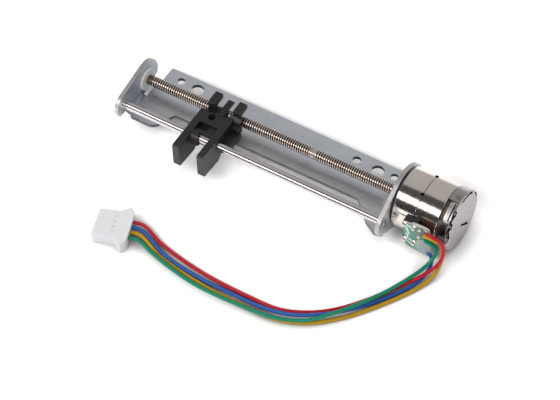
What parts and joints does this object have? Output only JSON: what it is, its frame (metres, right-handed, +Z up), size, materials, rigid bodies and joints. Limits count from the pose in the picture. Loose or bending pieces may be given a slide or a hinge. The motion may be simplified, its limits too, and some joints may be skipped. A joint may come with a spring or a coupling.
{
  "type": "stepper motor linear slide",
  "caption": "Small linear slide: a tin-can stepper turns a lead screw that drives a forked slider along a guide rod in a folded sheet bracket, with leads and a plug.",
  "frame": {"origin": "under the middle of the slide's footprint, leads and connector left out, at the level of the motor flange's lowest point", "axes": "+X along the lead screw towards the motor, +Y away from the guide rod, +Z up"},
  "size_m": [0.0886, 0.0517, 0.016],
  "materials": {
    "bracket_steel": "bright zinc plated sheet",
    "rod_steel": "ground and polished",
    "screw_steel": "rolled thread, lightly oiled",
    "can_steel": "nickel plated, bright",
    "white_nylon": "moulded",
    "black_plastic": "moulded",
    "charcoal_plastic": "moulded, satin",
    "copper": "enamelled winding wire",
    "bronze": "sintered, oiled",
    "ferrite": "ground ferrite",
    "brown_laminate": "phenolic laminate",
    "green_laminate": "solder mask",
    "tinned_brass": "tin plated",
    "solder": "bright solder",
    "red_insulation": "satin",
    "green_insulation": "satin",
    "blue_insulation": "satin",
    "yellow_insulation": "satin"
  },
  "bodies": {
    "frame": {"base_bracket": "bracket_steel", "guide_rod": "rod_steel", "screw_end_bush": "white_nylon", "front_can": "can_steel", "front_yoke": "can_steel", "rear_can": "can_steel", "rear_yoke": "can_steel", "front_bobbin": "black_plastic", "rear_bobbin": "black_plastic", "front_winding": "copper", "rear_winding": "copper", "front_bearing": "bronze", "rear_bearing": "bronze", "rear_cover": "can_steel", "rear_spacer": "brown_laminate", "terminal_block": "black_plastic", "terminal_board": "green_laminate", "terminal_pin_1": "tinned_brass", "terminal_pin_2": "tinned_brass", "terminal_pin_3": "tinned_brass", "terminal_pin_4": "tinned_brass", "solder_joint_1": "solder", "solder_joint_2": "solder", "solder_joint_3": "solder", "solder_joint_4": "solder", "red_lead": "red_insulation", "green_lead": "green_insulation", "blue_lead": "blue_insulation", "yellow_lead": "yellow_insulation", "connector_housing": "white_nylon", "crimp_contact_1": "tinned_brass", "crimp_contact_2": "tinned_brass", "crimp_contact_3": "tinned_brass", "crimp_contact_4": "tinned_brass"},
    "rotor_screw": {"lead_screw": "screw_steel", "rotor_magnet": "ferrite", "rotor_hub": "black_plastic", "front_thrust_washer": "screw_steel", "rear_thrust_washer": "screw_steel"},
    "carriage": {"slider": "charcoal_plastic"}
  },
  "joints": [
    {"name": "screw_turn", "type": "hinge", "parent": "frame", "child": "rotor_screw", "pos_m": [0, 0.00367, 0.008], "axis": [1, 0, 0], "range_deg": [-21599, 4199]},
    {"name": "slider_travel", "type": "slide", "parent": "frame", "child": "carriage", "axis": [1, 0, 0], "range_m": [-0.007, 0.036]}
  ],
  "couplings": [
    {"joint": "screw_turn", "follows": "slider_travel", "rad_per_m": -10472}
  ]
}
